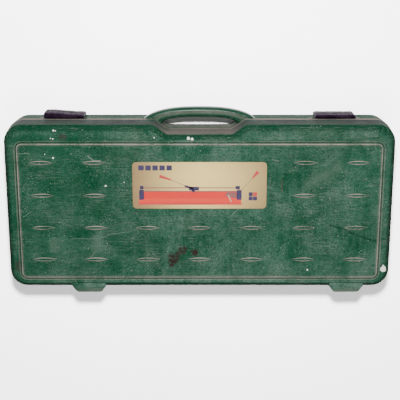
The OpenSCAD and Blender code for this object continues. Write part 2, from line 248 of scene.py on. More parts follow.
# ---------------------------------------------------------------- node helpers for materials
class Nodes:
    """Short names for the nodes that the materials use."""

    def __init__(self, name):
        self.material = bpy.data.materials.new(name)
        self.material.use_nodes = True
        self.tree = self.material.node_tree
        self.shader = self.tree.nodes["Principled BSDF"]
        coordinates = self.tree.nodes.new("ShaderNodeTexCoord")
        self.place = coordinates.outputs["Object"]
        self.facing = coordinates.outputs["Normal"]

    def link(self, value, socket):
        if isinstance(value, bpy.types.NodeSocket):
            self.tree.links.new(value, socket)
        else:
            socket.default_value = value

    def scaled(self, x, y, z, turn=0.0, shift=0.0):
        node = self.tree.nodes.new("ShaderNodeMapping")
        node.inputs["Scale"].default_value = (x, y, z)
        node.inputs["Rotation"].default_value = (0, 0, math.radians(turn))
        node.inputs["Location"].default_value = (shift, shift * 0.7, shift * 0.3)
        self.link(self.place, node.inputs["Vector"])
        return node.outputs["Vector"]

    def noise(self, scale, detail=4.0, rough=0.55, vector=None):
        node = self.tree.nodes.new("ShaderNodeTexNoise")
        node.inputs["Scale"].default_value = scale
        node.inputs["Detail"].default_value = detail
        node.inputs["Roughness"].default_value = rough
        self.link(vector or self.place, node.inputs["Vector"])
        return node.outputs["Fac"]

    def cells(self, scale):
        node = self.tree.nodes.new("ShaderNodeTexVoronoi")
        node.inputs["Scale"].default_value = scale
        self.link(self.place, node.inputs["Vector"])
        return node.outputs["Distance"]

    def ramp(self, value, low, high, out_low=0.0, out_high=1.0):
        node = self.tree.nodes.new("ShaderNodeMapRange")
        node.interpolation_type = "SMOOTHSTEP"
        for key, number in (("From Min", low), ("From Max", high), ("To Min", out_low), ("To Max", out_high)):
            node.inputs[key].default_value = number
        self.link(value, node.inputs["Value"])
        return node.outputs["Result"]

    def math(self, operation, a, b=0.0, clamp=False):
        node = self.tree.nodes.new("ShaderNodeMath")
        node.operation = operation
        node.use_clamp = clamp
        self.link(a, node.inputs[0])
        self.link(b, node.inputs[1])
        return node.outputs[0]

    def mix(self, factor, a, b):
        node = self.tree.nodes.new("ShaderNodeMix")
        node.data_type = "RGBA"
        self.link(factor, node.inputs["Factor"])
        self.link(a, node.inputs["A"])
        self.link(b, node.inputs["B"])
        return node.outputs["Result"]

    def attribute(self, name):
        node = self.tree.nodes.new("ShaderNodeAttribute")
        node.attribute_name = name
        return node.outputs["Fac"]

    def z_part(self, vector):
        node = self.tree.nodes.new("ShaderNodeSeparateXYZ")
        self.link(vector, node.inputs["Vector"])
        return node.outputs["Z"]

    def spot(self, x, y, z, radius, soft=0.5):
        """1 within radius millimetres of a point, fading out over the soft share of the radius."""
        node = self.tree.nodes.new("ShaderNodeVectorMath")
        node.operation = "DISTANCE"
        self.link(self.place, node.inputs[0])
        node.inputs[1].default_value = (x * MM, y * MM, z * MM)
        return self.ramp(node.outputs["Value"], radius * MM, radius * (1 - soft) * MM)

    def stroke(self, ends, width):
        """1 along a slightly wavy line between two points of the lid's panel, given in millimetres."""
        x0, y0, x1, y1 = ends
        length = math.hypot(x1 - x0, y1 - y0)
        across = ((y0 - y1) / length, (x1 - x0) / length)
        node = self.tree.nodes.new("ShaderNodeVectorMath")
        node.operation = "DOT_PRODUCT"
        self.link(self.place, node.inputs[0])
        node.inputs[1].default_value = (across[0], across[1], 0)
        wave = self.math("MULTIPLY", self.noise(24.0, 2.0, 0.5), 6 * MM)
        offset = self.math("SUBTRACT", node.outputs["Value"], (across[0] * x0 + across[1] * y0 + 3) * MM)
        line = self.ramp(self.math("ABSOLUTE", self.math("ADD", offset, wave)), width * MM, 0.0)
        reach = self.spot((x0 + x1) / 2, (y0 + y1) / 2, PANEL_Z, length / 2 + 2, 0.3)
        return self.math("MULTIPLY", line, reach)

    def bump(self, height, strength, distance, normal=None):
        node = self.tree.nodes.new("ShaderNodeBump")
        node.inputs["Strength"].default_value = strength
        node.inputs["Distance"].default_value = distance * MM
        self.link(height, node.inputs["Height"])
        if normal is not None:
            self.link(normal, node.inputs["Normal"])
        return node.outputs["Normal"]

    def finish(self, color, roughness, normal=None):
        self.link(color, self.shader.inputs["Base Color"])
        self.link(roughness, self.shader.inputs["Roughness"])
        if normal is not None:
            self.link(normal, self.shader.inputs["Normal"])
        return self.material


# the floor is lit to near white, so the case's colours are toned down to keep their place below it
TONE = 0.15
PRINT_TONE = 0.28


def srgb(r, g, b, tone=TONE):
    def linear(c):
        c /= 255.0
        return tone * (c / 12.92 if c <= 0.04045 else ((c + 0.055) / 1.055) ** 2.4)
    return (linear(r), linear(g), linear(b), 1.0)


def ink(r, g, b):
    return srgb(r, g, b, PRINT_TONE)


# brown stains on the panel: x, y, radius
STAINS = ((-60, -122, 16), (-50, -110, 10), (-38, -99, 14), (-64, -133, 10), (-12, -105.5, 12), (-66, -112, 7))


# the lid's larger marks: width, strength, colour, and the two ends of each
STROKES = (
    # short pale scratches
    (1.0, 0.55, (170, 178, 166), ((-397, -22, -378, -9), (160, 111, 175, 107), (-402, 125, -375, 125),
                                  (70, -20, 96, 6), (-252, -122, -236, -104))),
    # long scratch on the left, tick above it, rust line, and a dark line of painted shade along a crease on
    # the right
    (1.3, 0.35, (160, 170, 158), ((-295, -73, -224, -73), (-224, -73, -199, -60), (-199, -60, -152, -56))),
    (2.4, 0.5, (170, 180, 170), ((-247, 120, -235, 110), (-235, 110, -219, 109))),
    (1.6, 0.7, (110, 70, 60), ((183, 66, 184, 38),)),
    (4.2, 0.6, (0, 54, 34), ((290, -39, 323, -49), (323, -49, 352, -64), (352, -64, 404, -79))),
    # dusty smears, then brown ones on the border
    (20.0, 0.35, (112, 136, 120), ((321, 98, 227, 47), (-329, -70, -329, -108), (-233, -60, -233, -110))),
    (14.0, 0.5, (74, 58, 60), ((-310, 163, -292, 162), (-414, -126, -414, -150))),
)


def green_plastic(name, ior, gloss):
    """Deep green moulded plastic, greyed by dust, scuffed on its walls and worn pale along its edges, with
    painted shade and painted highlights.
    """
    n = Nodes(name)
    n.shader.inputs["IOR"].default_value = ior
    wear, scuff, dirt, clean = (n.attribute(key) for key in ("wear", "scuff", "dirt", "clean"))
    cloud = n.noise(5.0, 5.0, 0.6)
    blotch = n.noise(20.0, 7.0, 0.68)
    grain = n.noise(260.0, 6.0, 0.75)
    fine = n.noise(900.0, 3.0, 0.6)
    streak = n.noise(26.0, 6.0, 0.7, n.scaled(4.0, 0.4, 1.0, 4.0))
    base = n.mix(n.ramp(cloud, 0.35, 0.68), srgb(8, 80, 52), srgb(34, 96, 70))
    dusty = n.math("ADD", n.math("MULTIPLY", n.ramp(blotch, 0.28, 0.78), 0.72),
                   n.math("MULTIPLY", n.ramp(streak, 0.42, 0.72), 0.3))
    region = n.ramp(n.noise(2.6, 2.0, 0.5, n.scaled(1, 1, 1, 0, 0.4)), 0.38, 0.62, 0.75, 1.1)
    clean_corner = n.spot(-330, 100, PANEL_Z, 380, 1.0)
    dusty_middle = n.spot(40, -60, PANEL_Z, 330, 1.0)
    # very wide circles stand for the straight borders above and below the panel
    bottom_border = n.math("SUBTRACT", n.spot(0, -9190, PANEL_Z, 9024, 0.0008),
                           n.spot(0, -9190, PANEL_Z, 9006, 0.0008))
    top_border = n.spot(60, 9190, PANEL_Z, 9038, 0.0008)
    for weight, area in ((-0.85, clean_corner), (0.5, dusty_middle), (1.8, bottom_border), (0.7, top_border)):
        region = n.math("ADD", region, n.math("MULTIPLY", area, weight))
    haze = n.math("MULTIPLY", n.math("MULTIPLY", dusty, region), n.ramp(grain, 0.3, 0.66, 0.4, 1.0))
    haze = n.math("MULTIPLY", haze, n.math("SUBTRACT", 1.0, n.math("MULTIPLY", clean, 0.75)), clamp=True)
    color = n.mix(haze, base, srgb(98, 134, 116))
    # painted shade: the lid's rounded edge is deepened to a darker green, and so is the handle, which carries
    # the same mark
    color = n.mix(n.math("MULTIPLY", clean, 0.6), color, srgb(4, 66, 40))

    # dark grain, dust specks and pale pinpricks
    pores = n.ramp(n.noise(330.0, 2.0, 0.5, n.scaled(1, 1, 1, 0, 4.0)), 0.48, 0.62, 0.0, 0.5)
    color = n.mix(pores, color, srgb(4, 52, 34))
    speck = n.math("MULTIPLY", n.ramp(n.noise(380.0, 3.0, 0.6), 0.6, 0.67),
                   n.ramp(n.noise(14.0, 3.0, 0.6), 0.38, 0.6))
    color = n.mix(n.math("MULTIPLY", speck, 0.5), color, srgb(176, 186, 174))
    dots = n.math("MULTIPLY", n.ramp(n.cells(120.0), 0.17, 0.09), n.ramp(n.noise(33.0, 2.0, 0.6), 0.54, 0.66))
    color = n.mix(n.math("MULTIPLY", dots, 0.6), color, srgb(206, 206, 196))

    # fine scratches in four directions
    scratches = None
    for turn, shift, width in ((4, 0.3, 0.02), (14, 5.3, 0.014), (-38, 1.7, 0.016), (74, 2.9, 0.014)):
        line = n.noise(5.0, 2.0, 0.4, n.scaled(3.0, 190.0, 3.0, turn, shift))
        thin = n.ramp(n.math("ABSOLUTE", n.math("SUBTRACT", line, 0.5)), width, 0.0)
        patch = n.ramp(n.noise(12.0, 2.0, 0.5, n.scaled(1, 1, 1, 0, shift * 3)), 0.5, 0.62)
        one = n.math("MULTIPLY", thin, patch)
        scratches = one if scratches is None else n.math("MAXIMUM", scratches, one)
    level = n.ramp(n.math("ABSOLUTE", n.z_part(n.facing)), 0.6, 0.85)
    scratches = n.math("MULTIPLY", scratches, level)
    color = n.mix(n.math("MULTIPLY", scratches, 0.55), color, srgb(168, 178, 168))

    on_face = n.ramp(n.z_part(n.place), (PANEL_Z - 5) * MM, (PANEL_Z - 4) * MM)
    for width, strength, tint, lines in STROKES:
        for ends in lines:
            mark = n.math("MULTIPLY", n.stroke(ends, width), on_face)
            color = n.mix(n.math("MULTIPLY", mark, strength), color, srgb(*tint))

    # scuffed walls: grey over green, on the handle side partly painted light
    worn = n.math("ADD", n.math("MULTIPLY", grain, 0.5), n.math("MULTIPLY", blotch, 0.6))
    rub = n.math("MULTIPLY", scuff, n.ramp(worn, 0.36, 0.62), clamp=True)
    color = n.mix(rub, color, n.mix(n.ramp(grain, 0.38, 0.64), srgb(66, 72, 70), srgb(101, 103, 101)))

    # darker in the grooves, round the tray floors and in the lugs' slots, and painted shade on the walls and
    # rounded edges away from the handle side
    color = n.mix(n.math("MULTIPLY", dirt, n.ramp(blotch, 0.25, 0.6), clamp=True), color, srgb(38, 36, 38))

    # edges worn to a pale pinkish grey; on the ribs' long edges and along the handle this pale mark is partly
    # painted highlight
    edge = n.math("MULTIPLY", wear, n.ramp(worn, 0.42, 0.6, 0.3, 1.0), clamp=True)
    color = n.mix(edge, color, srgb(206, 186, 178))

    ragged = n.math("MULTIPLY", n.ramp(n.noise(150.0, 5.0, 0.75), 0.38, 0.5), on_face)
    for x, y, radius in STAINS:
        stain = n.math("MULTIPLY", n.spot(x, y, PANEL_Z, radius, 0.6), ragged)
        color = n.mix(n.math("MULTIPLY", stain, 0.9), color, srgb(62, 44, 42))

    height = n.math("ADD", n.math("MULTIPLY", fine, 0.35), n.math("MULTIPLY", grain, 0.65))
    normal = n.bump(height, 0.35, 0.5)
    normal = n.bump(scratches, 0.25, -0.3, normal)
    dull = n.math("ADD", n.math("MULTIPLY", haze, 0.6), n.math("MULTIPLY", edge, 0.5))
    return n.finish(color, n.ramp(dull, 0.0, 0.7, gloss, gloss + 0.36), normal)


def latch_plastic():
    """Dark purple-grey plastic with a dusty, rubbed outer face, its lighter grey partly painted light on the
    lit side.
    """
    n = Nodes("latch_plastic")
    n.shader.inputs["IOR"].default_value = 1.06
    wear, scuff = n.attribute("wear"), n.attribute("scuff")
    blotch = n.noise(60.0, 6.0, 0.65)
    grain = n.noise(500.0, 4.0, 0.7)
    color = n.mix(n.ramp(blotch, 0.35, 0.7), srgb(26, 8, 30), srgb(56, 36, 58))
    # dust on the top faces, partly painted light that lightens the side the light falls on
    dust = n.math("MULTIPLY", scuff, n.ramp(n.noise(110.0, 5.0, 0.7), 0.4, 0.62), clamp=True)
    color = n.mix(n.math("MULTIPLY", dust, 0.8), color, srgb(100, 86, 98))
    edge = n.math("MULTIPLY", wear, n.ramp(grain, 0.42, 0.62), clamp=True)
    color = n.mix(n.math("MULTIPLY", edge, 0.75), color, srgb(156, 140, 160))
    normal = n.bump(n.math("ADD", n.math("MULTIPLY", grain, 0.5), blotch), 0.4, 0.6)
    return n.finish(color, n.ramp(blotch, 0.2, 0.8, 0.38, 0.62), normal)


def pin_steel():
    n = Nodes("pin_steel")
    n.shader.inputs["Metallic"].default_value = 1.0
    brushed = n.noise(700.0, 3.0, 0.6, n.scaled(0.05, 1.0, 1.0))
    rust = n.ramp(n.noise(180.0, 5.0, 0.7), 0.55, 0.72)
    color = n.mix(rust, srgb(168, 168, 166), srgb(104, 70, 48))
    return n.finish(color, n.ramp(brushed, 0.3, 0.7, 0.25, 0.5), n.bump(brushed, 0.2, 0.2))


def label_foil(name, color, tint, painted_falloff=0.0, metal=0.0):
    """Printed foil: one ink over the gold-beige plate, darkened with painted shade towards its ends round a
    lighter middle that stands for a highlight, with fine handling marks.
    """
    n = Nodes(name)
    n.shader.inputs["Metallic"].default_value = metal
    n.shader.inputs["Specular IOR Level"].default_value = 0.1
    haze = n.noise(9.0, 4.0, 0.5)
    speck = n.noise(420.0, 4.0, 0.7)
    result = n.mix(n.ramp(haze, 0.3, 0.7), color, tint)
    # painted highlight and shade: the foil is left lighter round this middle and darkened brown towards its
    # ends
    middle = n.spot(12, 62, LABEL_HIGH[2], 190, 0.95)
    result = n.mix(n.math("MULTIPLY", n.math("SUBTRACT", 1.0, middle), painted_falloff), result, ink(112, 82, 66))
    result = n.mix(n.math("MULTIPLY", n.ramp(speck, 0.66, 0.74), 0.5), result, ink(220, 208, 176))
    return n.finish(result, n.ramp(speck, 0.3, 0.7, 0.34, 0.54), n.bump(speck, 0.12, 0.15))


GREEN = green_plastic("green_plastic", 1.03, 0.42)
HANDLED_GREEN = green_plastic("handled_green_plastic", 1.1, 0.22)
PLUM = latch_plastic()
STEEL = pin_steel()


# ---------------------------------------------------------------- shells
def wall_levels(z_rim, z_face, draft, direction):
    """Inset and Z of each loop from the rim over the wall and round the edge to the face."""
    reach = abs(z_face - z_rim) - EDGE_R
    shares = (0.0, 0.03, 0.1, 0.2, 0.45, 0.7, 0.88)
    levels = [(draft * reach * t, z_rim + direction * reach * t) for t in shares]
    slope = draft * reach
    for i in range(1, EDGE_STEPS + 1):
        a = math.radians(90 * i / EDGE_STEPS)
        levels.append((slope + EDGE_R * (1 - math.cos(a)), z_face - direction * EDGE_R * (1 - math.sin(a))))
    return levels


def face_panel(shape, rim_loop, rim_inset, z_border, direction, raised, flip):
    """Border, groove and panel of one outer face, joined to the rounded edge's last loop."""
    edge = outline(rim_inset)
    outer = panel_loop(GROOVE_W / 2 + 1.6)
    previous = rim_loop
    for t in (0.25, 0.55, 0.85):
        loop = shape.loop(lift(blend_loops(edge, outer, t), z_border))
        shape.bridge(previous, loop, flip=flip)
        previous = loop
    z_panel = z_border + direction * raised
    deep = z_border - direction * GROOVE_DEPTH
    # growth from the groove's middle line, Z, wear, darkening of the groove
    profile = ((GROOVE_W / 2 + 1.6, z_border, 0.0, 0.0),
               (GROOVE_W / 2 + 0.6, z_border, 0.3, 0.0),
               (GROOVE_W / 2 - 0.2, z_border - direction * 0.25, 0.25, 0.0),
               (GROOVE_W / 2 - 1.4, deep, 0.0, 0.3),
               (-GROOVE_W / 2 + 2.0, deep, 0.0, 0.3),
               (-GROOVE_W / 2 + 1.1, z_panel - direction * 0.9, 0.1, 0.1),
               (-GROOVE_W / 2 + 0.4, z_panel - direction * 0.2, 0.8, 0.0),
               (-GROOVE_W / 2 - 0.6, z_panel, 1.0, 0.0),
               (-GROOVE_W / 2 - 1.2, z_panel, 0.2, 0.0),
               (-GROOVE_W / 2 - 6.0, z_panel, 0.0, 0.0))
    for grow, z, wear, dirt in profile:
        loop = shape.loop(lift(panel_loop(grow), z), wear=wear, dirt=dirt)
        shape.bridge(previous, loop, flip=flip)
        previous = loop
    inner = panel_loop(-GROOVE_W / 2 - 6.0)
    middle_y = (PANEL_TOP + PANEL_BOTTOM) / 2
    for t in (0.25, 0.55, 0.85):
        ring = [[x * (1 - t * 0.25), middle_y + (y - middle_y) * (1 - t)] for x, y in inner]
        amount = smoothstep(t * 2)
        loop = shape.loop([(x, y, z_panel + direction * amount * min(panel_wave(x, y), 0.0)) for x, y in ring])
        shape.bridge(previous, loop, flip=flip)
        previous = loop
    shape.cap(previous, flip)


def skin_levels(levels, direction):
    """Adds the ledge of the latch recesses to the base's wall: inset, Z and recess depth of each loop."""
    if direction > 0:
        return [(inset, z, 0.0) for inset, z in levels]
    depth, ledge = LATCH_RECESS["depth"], LATCH_RECESS["low_z"]
    slope = levels[1][0] / (levels[0][1] - levels[1][1])
    inset = slope * (PART_Z - ledge)
    upper = [(i, z, depth) for i, z in levels if z > ledge + 2]
    lower = [(i, z, 0.0) for i, z in levels if z < ledge - 2]
    return upper + [(inset, ledge + 0.5, depth), (inset, ledge - 0.5, 0.0)] + lower


def outer_skin(z_rim, z_face, draft, direction, raised):
    """One half's outer surface, closed by an inner surface a skin's thickness inside it."""
    shape = Shape()
    flip = direction < 0
    levels = skin_levels(wall_levels(z_rim, z_face, draft, direction), direction)
    wall_count = len(levels) - EDGE_STEPS
    rim_marks = (1.0, 1.0, 0.0 if direction > 0 else 0.45, 0.0)
    previous = None
    for index, (inset, z, cut) in enumerate(levels):
        loop = []
        for x, y in outline(inset, latch_depth=cut):
            on_wall = index < wall_count
            handle_side = smoothstep((y - (HALF_Y - 70)) / 60)
            rim_wear = rim_marks[min(index, 3)] * (0.5 + 0.5 * handle_side)
            hand_wear = 0.3 * recess_depth(x, inset) / (HALF_Y - RECESS_FLOOR) if y > 0 and on_wall else 0.0
            at_latch = cut and y > HALF_Y - 20 and any(abs(abs(x) - edge) < 2.0 for edge in RECESS_EDGES)
            wear = max(rim_wear, hand_wear, 0.9 if at_latch else 0.0)
            # the lid's walls are scuffed most on the handle side, where the grey partly stands for the sheen
            # of the lit wall; the base is scuffed near the floor
            if on_wall:
                scuff = 0.25 + 0.75 * handle_side if direction > 0 else 0.15 + 0.6 * smoothstep((22 - z) / 10)
            else:
                scuff = 0.9 * handle_side if direction < 0 and index < wall_count + 4 else 0.0
            # painted shade: the walls and the rounded edge are darkened on the sides away from the handle
            # side, the edge most
            grime_and_shade = 0.35 if index <= wall_count else 0.6 if index < wall_count + 5 else 0.0
            # the lid's rounded edge gets less dust and painted shade
            clean = 0.0 if on_wall or direction < 0 else 1.0
            dirt = (1 - handle_side) * grime_and_shade
            loop.append(shape.add((x, y, z), wear=wear, scuff=scuff, dirt=dirt, clean=clean))
        if previous:
            shape.bridge(previous, loop, flip=flip)
        else:
            first = loop
        previous = loop
    face_panel(shape, previous, levels[-1][0], z_face, direction, raised, flip)

    # inner surface of the skin
    previous = first
    for inset, z, cut in levels:
        inner_z = z if z == z_rim else z - direction * (SKIN * 1.9 if z == levels[-1][1] else SKIN * 0.6)
        loop = shape.loop(lift(outline(inset + SKIN, latch_depth=cut), inner_z))
        shape.bridge(loop, previous, flip=flip)
        previous = loop
    shape.cap(previous, not flip)
    return shape


def lens_rib(shape, cx, cy, z):
    """Raised lens-shaped rib: a low crown with two pale long edges, partly wear and partly painted highlight,
    and its skirt just under the panel.
    """
    length, width, height = RIB_SIZE
    columns, sunk = 24, 0.12
    # place across the rib, height as a share of the crown's, pale edge mark of wear and painted highlight
    across = ((-1.0, 0.0, 0.9), (-0.9, 0.4, 1.0), (-0.74, 0.72, 1.0), (-0.58, 0.9, 0.7), (-0.3, 0.98, 0.0),
              (0.0, 1.0, 0.0), (0.3, 0.98, 0.0), (0.62, 0.9, 0.0), (0.76, 0.72, 1.0), (0.9, 0.4, 1.0),
              (1.0, 0.0, 0.8))
    grid = []
    for i in range(columns + 1):
        u = math.sin((-1 + 2 * i / columns) * math.pi / 2)
        half = width / 2 * (1 - u * u) + 0.02
        tip = (1 - u * u) ** 0.45
        line = []
        for v, crest, wear in across:
            point = (cx + u * length / 2, cy + v * half, z - sunk + (height + sunk) * crest * tip)
            line.append(shape.add(point, wear=wear * (0.75 + 0.25 * tip)))
        grid.append(line)
    rows = len(across) - 1
    for i in range(columns):
        for j in range(rows):
            shape.faces.append((grid[i][j], grid[i + 1][j], grid[i + 1][j + 1], grid[i][j + 1]))
    there = [line[0] for line in grid] + grid[-1][1:rows]
    back = [line[rows] for line in reversed(grid)] + grid[0][rows - 1:0:-1]
    shape.cap(there + back, True)


def lid_skin():
    """The lid's outer skin with its ribs; the label takes the place of six ribs in the two upper rows."""
    shape = outer_skin(PART_Z + PART_GAP / 2, BORDER_Z, LID_DRAFT, 1, PANEL_Z - BORDER_Z)
    for row in range(4):
        for column in range(-3, 4):
            if row > 1 or abs(column) > 1:
                lens_rib(shape, column * RIB_PITCH[0], RIB_FIRST_Y - row * RIB_PITCH[1], PANEL_Z)
    return shape


def base_skin():
    return outer_skin(PART_Z - PART_GAP / 2, 0.0, BASE_DRAFT, -1, 0.0)


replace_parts(mesh("lid_moulding", lid_skin(), "lid", GREEN), "lid_outer_skin")
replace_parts(mesh("base_moulding", base_skin(), "base", GREEN), "base_outer_skin")


# ---------------------------------------------------------------- handle
def handle_shape():
    """Arched bar of rounded section that flows out of the base's wall."""
    shape = Shape()
    stations, around, squareness = 72, 28, 0.62
    low_z, high_z = 41.0, PART_Z - 2.5
    middle_z, half_z = (low_z + high_z) / 2, (high_z - low_z) / 2
    outer_reach, inner_reach, hole_half = 128.0, 96.0, 84.0
    outer_foot_y, inner_foot_y, hole_top_y = 184.0, 178.0, 193.4
    rings = []
    for k in range(stations + 1):
        s = -1 + 2 * k / stations
        out_x = outer_reach * math.sin(s * math.pi / 2)
        arch = (1 - abs(out_x / (outer_reach + 0.6)) ** 2.6) ** 0.62
        out_y = outer_foot_y + (HANDLE_TOP - outer_foot_y) * arch
        in_x = inner_reach * math.sin(s * math.pi / 2)
        if abs(in_x) < hole_half:
            in_y = inner_foot_y + (hole_top_y - inner_foot_y) * (1 - abs(in_x / hole_half) ** 3.2) ** 0.5
        else:
            in_y = inner_foot_y - (abs(in_x) - hole_half) * 0.6
        ring = []
        for i in range(around):
            a = 2 * math.pi * i / around
            cu = math.copysign(abs(math.cos(a)) ** squareness, math.cos(a))
            su = math.copysign(abs(math.sin(a)) ** squareness, math.sin(a))
            t = (1 + cu) / 2
            x = in_x + (out_x - in_x) * t
            y = in_y + (out_y - in_y) * t
            # a pale line along the bar's outer face: a scratch, and in part a painted highlight
            scratch_and_highlight = math.exp(-((a - math.pi * 0.47) / 0.12) ** 2) * (1.0 if abs(s) < 0.8 else 0.4)
            ring.append(shape.add((x, y, middle_z + half_z * su), wear=0.4 * scratch_and_highlight, clean=1.0))
        rings.append(ring)
    shape.stack(rings)
    return shape


mesh("handle_bar", handle_shape(), "base", HANDLED_GREEN)


# ---------------------------------------------------------------- feet, knuckles and lugs
FOOT = {"half": 37.5, "outer_half": 28.0, "outer_y": -209.0, "lean": math.tan(math.radians(7)), "notch": 9.5}
KNUCKLE_R = 7.0
MID_KNUCKLE = 10.5
EAR_R = 3.2
EAR_X = 24.0


def rounded_path(corners, steps=5):
    """Closed outline from corner points, each with its own rounding radius."""
    points = []
    count = len(corners)
    for i, (x, y, r) in enumerate(corners):
        here = Vector((x, y))
        before = Vector(corners[i - 1][:2]) - here
        after = Vector(corners[(i + 1) % count][:2]) - here
        if r <= 0:
            points.append([x, y])
            continue
        start = here + before.normalized() * min(r, before.length * 0.49)
        end = here + after.normalized() * min(r, after.length * 0.49)
        for k in range(steps + 1):
            t = k / steps
            p = start * (1 - t) ** 2 + here * 2 * t * (1 - t) + end * t * t
            points.append([p.x, p.y])
    return points


def foot_half(shape, x, direction, z_face):
    """Half of a tapered foot block, from the notch round the knuckles to the case's face."""
    z_notch = PART_Z + direction * FOOT["notch"]
    # Z, inset, wear
    levels = [(z_notch, 1.6, 0.8),
              (z_notch + direction * 0.5, 0.5, 1.0),
              (z_notch + direction * 1.8, 0.0, 0.2),
              (z_notch * 0.6 + z_face * 0.4, 0.0, 0.1),
              (z_notch * 0.15 + z_face * 0.85, 0.0, 0.1),
              (z_face - direction * 2.2, 0.1, 0.4),
              (z_face - direction * 0.7, 0.7, 0.8),
              (z_face - direction * 0.15, 1.9, 0.5)]
    loops = []
    for z, inset, wear in levels:
        outer_y = FOOT["outer_y"] + abs(z - PART_Z) * FOOT["lean"] + inset
        half, outer = FOOT["half"] - inset, FOOT["outer_half"] - inset * 0.6
        left = [(x - half - 1.5, -HALF_Y + 12, 0), (x - half - 1.5, -HALF_Y + 3.5, 0),
                (x - half, -HALF_Y + 1.5, 4), (x - outer, outer_y, 4.5)]
        right = [(2 * x - px, py, r) for px, py, r in reversed(left)]
        loops.append([shape.add((px, py, z), wear=0.4 * wear if py < -HALF_Y - 2 else 0.0)
                      for px, py in rounded_path(left + right)])
    shape.stack(loops, flip=direction < 0)


def extrude_x(shape, section, x0, x1, rounding=0.7, **marks):
    """Prism along X from a closed (y, z) section, with its two ends rounded."""
    cy = sum(p[0] for p in section) / len(section)
    cz = sum(p[1] for p in section) / len(section)
    size = max(max(abs(y - cy), abs(z - cz)) for y, z in section)
    loops = []
    stops = [(x0, 1.0), (x0 + rounding * 0.3, 0.35), (x0 + rounding, 0.0),
             (x1 - rounding, 0.0), (x1 - rounding * 0.3, 0.35), (x1, 1.0)]
    for x, pull in stops:
        scale = 1 - pull * rounding / size
        points = [(x, cy + (y - cy) * scale, cz + (z - cz) * scale) for y, z in section]
        loops.append(shape.loop(points, **marks))
    shape.stack(loops)


def knuckle_section(direction):
    """Round knuckle with its web, which runs back into the case's wall."""
    arc = [(HINGE_Y + KNUCKLE_R * math.cos(a), PART_Z - direction * KNUCKLE_R * math.sin(a))
           for a in (math.pi * i / 12 for i in range(13))]
    web = [(HINGE_Y - KNUCKLE_R, PART_Z + direction * (FOOT["notch"] + 0.8)),
           (-HALF_Y + 3, PART_Z + direction * (FOOT["notch"] + 0.8)), (-HALF_Y + 3, PART_Z + direction * 0.25)]
    section = arc + web
    return section[::-1] if direction > 0 else section


def hinge_half(direction, z_face):
    shape = Shape()
    reach = FOOT["outer_half"] - 0.5
    for x in FEET_X:
        foot_half(shape, x, direction, z_face)
        if direction > 0:
            spans = ((x - MID_KNUCKLE, x + MID_KNUCKLE),)
        else:
            spans = ((x - reach, x - MID_KNUCKLE - 0.5), (x + MID_KNUCKLE + 0.5, x + reach))
        for x0, x1 in spans:
            extrude_x(shape, knuckle_section(direction), x0, x1, wear=0.2)
    return shape


for name, body, direction, z_face in (("base_feet", "base", -1, 0.4), ("lid_feet", "lid", 1, BORDER_Z)):
    mesh(name, hinge_half(direction, z_face), body, GREEN)


def box_section(y0, y1, z0, z1, r=0.8):
    return rounded_path([(y0, z0, r), (y1, z0, r), (y1, z1, r), (y0, z1, r)], steps=3)


def lid_lugs():
    """Lug under each latch: a plate with a slot that faces the latch's tooth."""
    shape = Shape()
    out, back = HALF_Y - 0.6, HALF_Y - 6.6
    for x in LATCHES_X:
        extrude_x(shape, box_section(back, out, 53.0, 57.2), x - 47.5, x + 47.5, wear=0.3)
        extrude_x(shape, box_section(back, out, 63.8, PART_Z + 4), x - 47.5, x + 47.5, wear=0.3)
        # the slot's back plate is darkened
        extrude_x(shape, box_section(back, out - 3.0, 56.0, 65.0, 0.2), x - 47.0, x + 47.0, dirt=0.4)
        for side in (-1, 1):
            ends = sorted((x + side * 31, x + side * 47.2))
            extrude_x(shape, box_section(back + 0.2, out - 0.02, 56.0, 65.0, 0.2), ends[0], ends[1])
    return shape


mesh("lid_lugs", lid_lugs(), "lid", GREEN)


def latch_ears():
    """Two ears in the base for each latch's pin."""
    shape = Shape()
    arc = [(LATCH_PIVOT_Y + EAR_R * math.sin(a), LATCH_PIVOT_Z + EAR_R * math.cos(a))
           for a in (math.pi * i / 10 for i in range(11))]
    section = [(HALF_Y - 3, LATCH_PIVOT_Z + EAR_R)] + arc + [(HALF_Y - 3, LATCH_PIVOT_Z - EAR_R)]
    for x in LATCHES_X:
        for side in (-1, 1):
            middle = x + side * EAR_X
            extrude_x(shape, section[::-1], middle - 2, middle + 2, rounding=0.4)
    return shape


mesh("latch_ears", latch_ears(), "base", GREEN)


# ---------------------------------------------------------------- trays inside the two halves
TRAY = {"x": 414.0, "low_y": -172.0, "high_y": 160.0, "corner": 28.0, "floor_r": 9.0, "gap": 9.0}
TRAY_BOX = (TRAY["x"], TRAY["low_y"], TRAY["high_y"])
LID_LATCH_CUT = 6.9
PADS = {"x": (-270.0, 0.0, 270.0), "half": 26.0, "spans": ((-160.0, -92.0), (76.0, 148.0)), "height": 16.0}


def tray_loop(grow):
    return outline(-grow, with_recess=False, corner=TRAY["corner"], box=TRAY_BOX)


